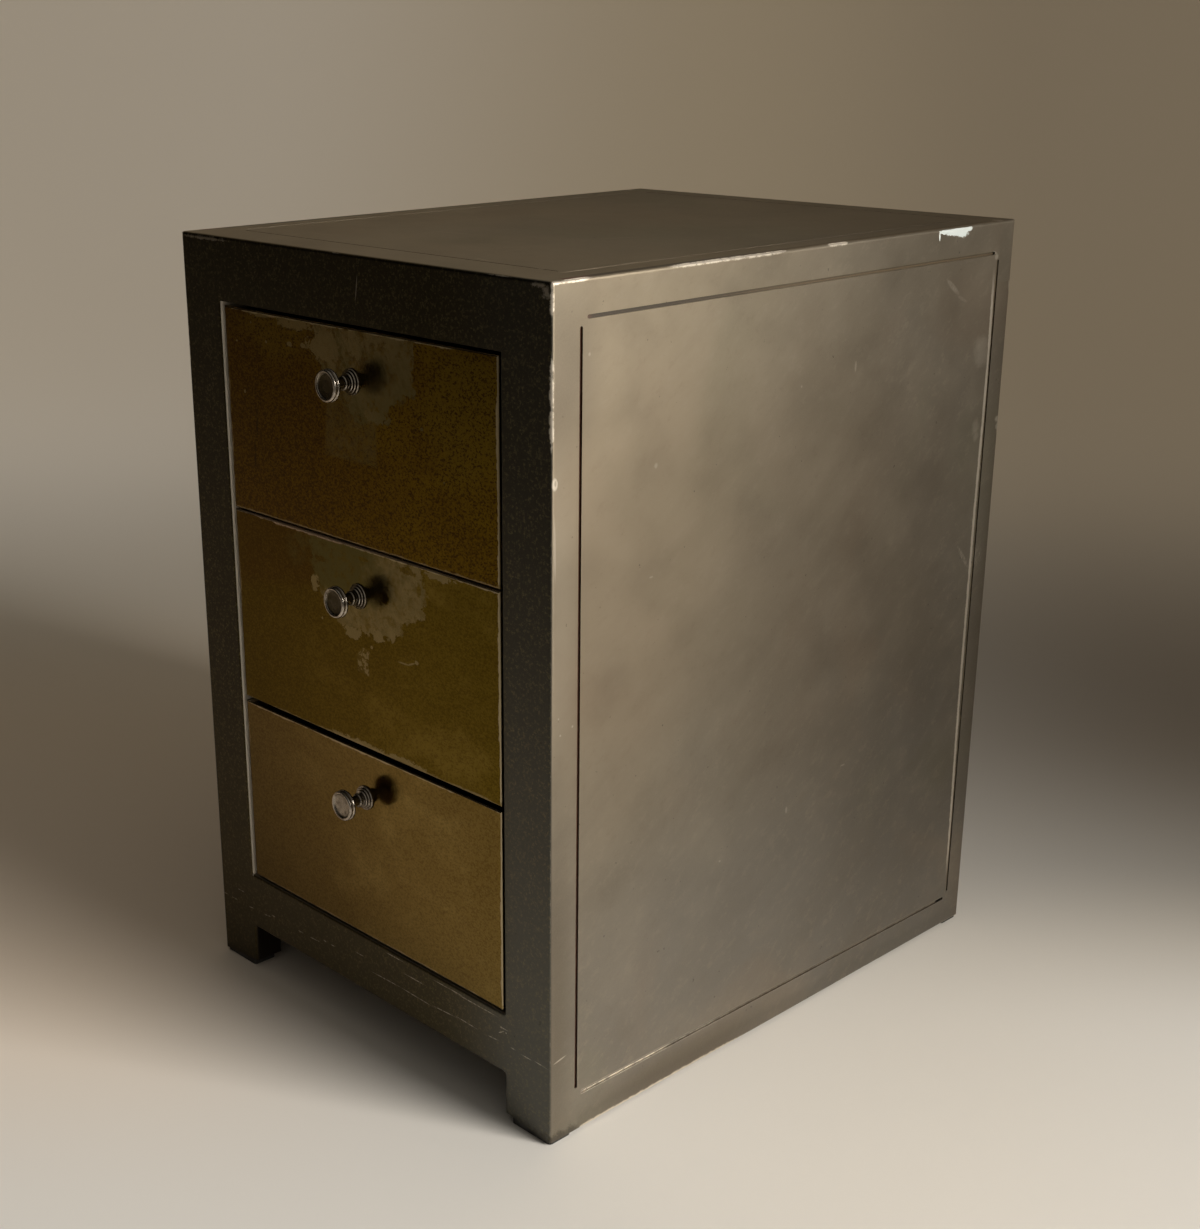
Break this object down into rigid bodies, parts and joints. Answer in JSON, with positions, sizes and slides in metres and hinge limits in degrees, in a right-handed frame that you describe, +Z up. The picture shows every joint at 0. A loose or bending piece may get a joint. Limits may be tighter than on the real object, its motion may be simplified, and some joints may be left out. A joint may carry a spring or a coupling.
{
  "type": "small metal drawer cabinet",
  "caption": "Small free-standing steel cabinet on short legs, with full-depth brass-plated drawers on channel runners, each pulled by a round knob.",
  "frame": {"origin": "on the floor, under the middle of the overall box, knobs included", "axes": "+Z up, drawers face and slide out along -Y, +X to the right seen from the front"},
  "size_m": [0.463, 0.6104, 0.703],
  "materials": {
    "frame_steel": "stripped bare steel, ground, waxed satin",
    "inner_steel": "dull bare sheet steel",
    "drawer_brass": "aged brass plate, worn through to steel",
    "knob_metal": "worn nickel plate",
    "hardware": "dull zinc plate",
    "foot_steel": "dark, rough",
    "buffer_rubber": "matt black"
  },
  "bodies": {
    "case": {"front_header": "frame_steel", "rear_header": "frame_steel", "front_post_right": "frame_steel", "front_post_left": "frame_steel", "rear_post_right": "frame_steel", "rear_post_left": "frame_steel", "front_bottom_rail": "frame_steel", "rear_bottom_rail": "frame_steel", "side_top_rail_right": "frame_steel", "side_top_rail_left": "frame_steel", "side_bottom_rail_right": "frame_steel", "side_bottom_rail_left": "frame_steel", "side_panel_right": "frame_steel", "side_panel_left": "frame_steel", "top_panel": "frame_steel", "back_panel": "frame_steel", "bottom_panel": "inner_steel", "foot_front_right": "foot_steel", "foot_front_left": "foot_steel", "foot_rear_right": "foot_steel", "foot_rear_left": "foot_steel", "runner_1_right": "hardware", "runner_1_left": "hardware", "runner_2_right": "hardware", "runner_2_left": "hardware", "runner_3_right": "hardware", "runner_3_left": "hardware", "runner_screws": "hardware", "stop_pins": "hardware", "rubber_buffers": "buffer_rubber"},
    "drawer_1": {"drawer_1_front": "drawer_brass", "drawer_1_inner_front": "inner_steel", "drawer_1_tray": "inner_steel", "drawer_1_back": "inner_steel", "drawer_1_slide_right": "inner_steel", "drawer_1_slide_left": "inner_steel", "knob_1": "knob_metal", "knob_plate_1": "knob_metal", "knob_screw_1": "hardware"},
    "drawer_2": {"drawer_2_front": "drawer_brass", "drawer_2_inner_front": "inner_steel", "drawer_2_tray": "inner_steel", "drawer_2_back": "inner_steel", "drawer_2_slide_right": "inner_steel", "drawer_2_slide_left": "inner_steel", "knob_2": "knob_metal", "knob_plate_2": "knob_metal", "knob_screw_2": "hardware"},
    "drawer_3": {"drawer_3_front": "drawer_brass", "drawer_3_inner_front": "inner_steel", "drawer_3_tray": "inner_steel", "drawer_3_back": "inner_steel", "drawer_3_slide_right": "inner_steel", "drawer_3_slide_left": "inner_steel", "knob_3": "knob_metal", "knob_plate_3": "knob_metal", "knob_screw_3": "hardware"}
  },
  "joints": [
    {"name": "drawer_1_slide", "type": "slide", "parent": "case", "child": "drawer_1", "axis": [0, -1, 0], "range_m": [0, 0.4]},
    {"name": "drawer_2_slide", "type": "slide", "parent": "case", "child": "drawer_2", "axis": [0, -1, 0], "range_m": [0, 0.4]},
    {"name": "drawer_3_slide", "type": "slide", "parent": "case", "child": "drawer_3", "axis": [0, -1, 0], "range_m": [0, 0.4]}
  ]
}
